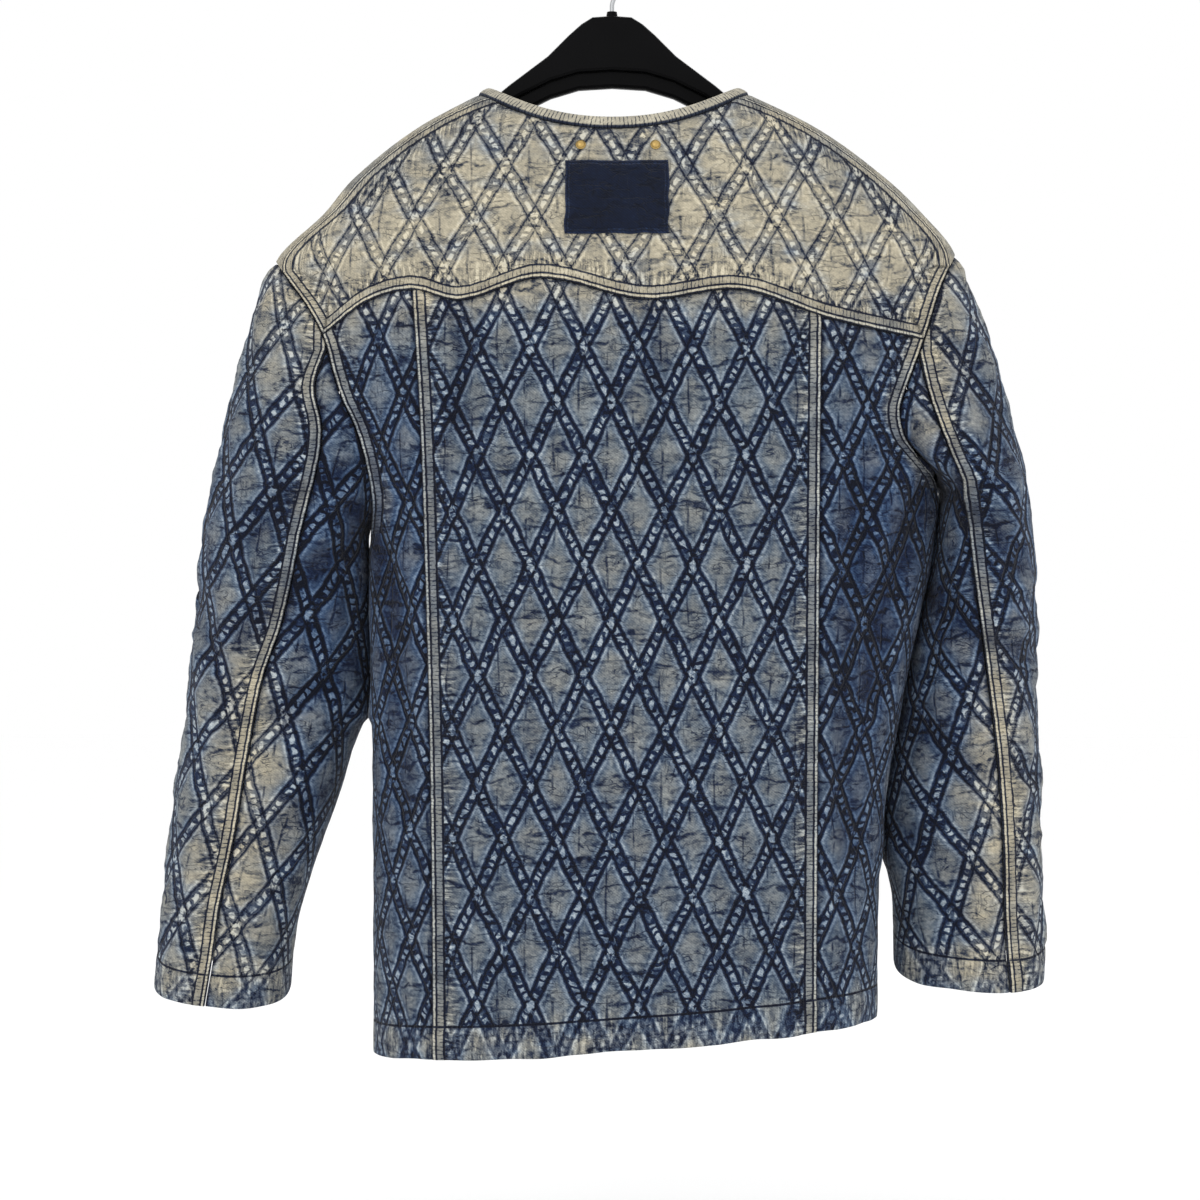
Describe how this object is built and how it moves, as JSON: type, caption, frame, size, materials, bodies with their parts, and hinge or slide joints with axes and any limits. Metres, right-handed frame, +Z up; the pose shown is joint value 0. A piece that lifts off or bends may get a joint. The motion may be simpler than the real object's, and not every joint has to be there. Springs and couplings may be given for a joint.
{
  "type": "quilted jacket on a hanger",
  "caption": "Collarless washed-indigo jacket quilted in diamonds, with a wavy back yoke, drop shoulders and two-piece sleeves, hanging open-hemmed on a black moulded hanger with a wire hook.",
  "frame": {"origin": "top of the inside of the hook, where a rail carries it", "axes": "+Z up; the jacket's back faces -Y, and +X is the wearer's right"},
  "size_m": [0.642, 0.1959, 0.8009],
  "materials": {
    "washed_indigo": "washed, worn quilted denim",
    "binding": "washed and faded denim strip",
    "patch_denim": "dark unwashed denim",
    "stud_brass": "satin",
    "hanger_plastic": "satin black moulding",
    "hook_steel": "bright wire"
  },
  "bodies": {
    "root": {"back_yoke": "washed_indigo", "back_centre": "washed_indigo", "back_side_left": "washed_indigo", "back_side_right": "washed_indigo", "front_left": "washed_indigo", "front_right": "washed_indigo", "sleeve_left_upper": "washed_indigo", "sleeve_left_under": "washed_indigo", "sleeve_right_upper": "washed_indigo", "sleeve_right_under": "washed_indigo", "neck_binding": "binding", "back_patch": "patch_denim", "stud_left": "stud_brass", "stud_right": "stud_brass", "hanger": "hanger_plastic", "hanger_hook": "hook_steel"}
  },
  "joints": []
}
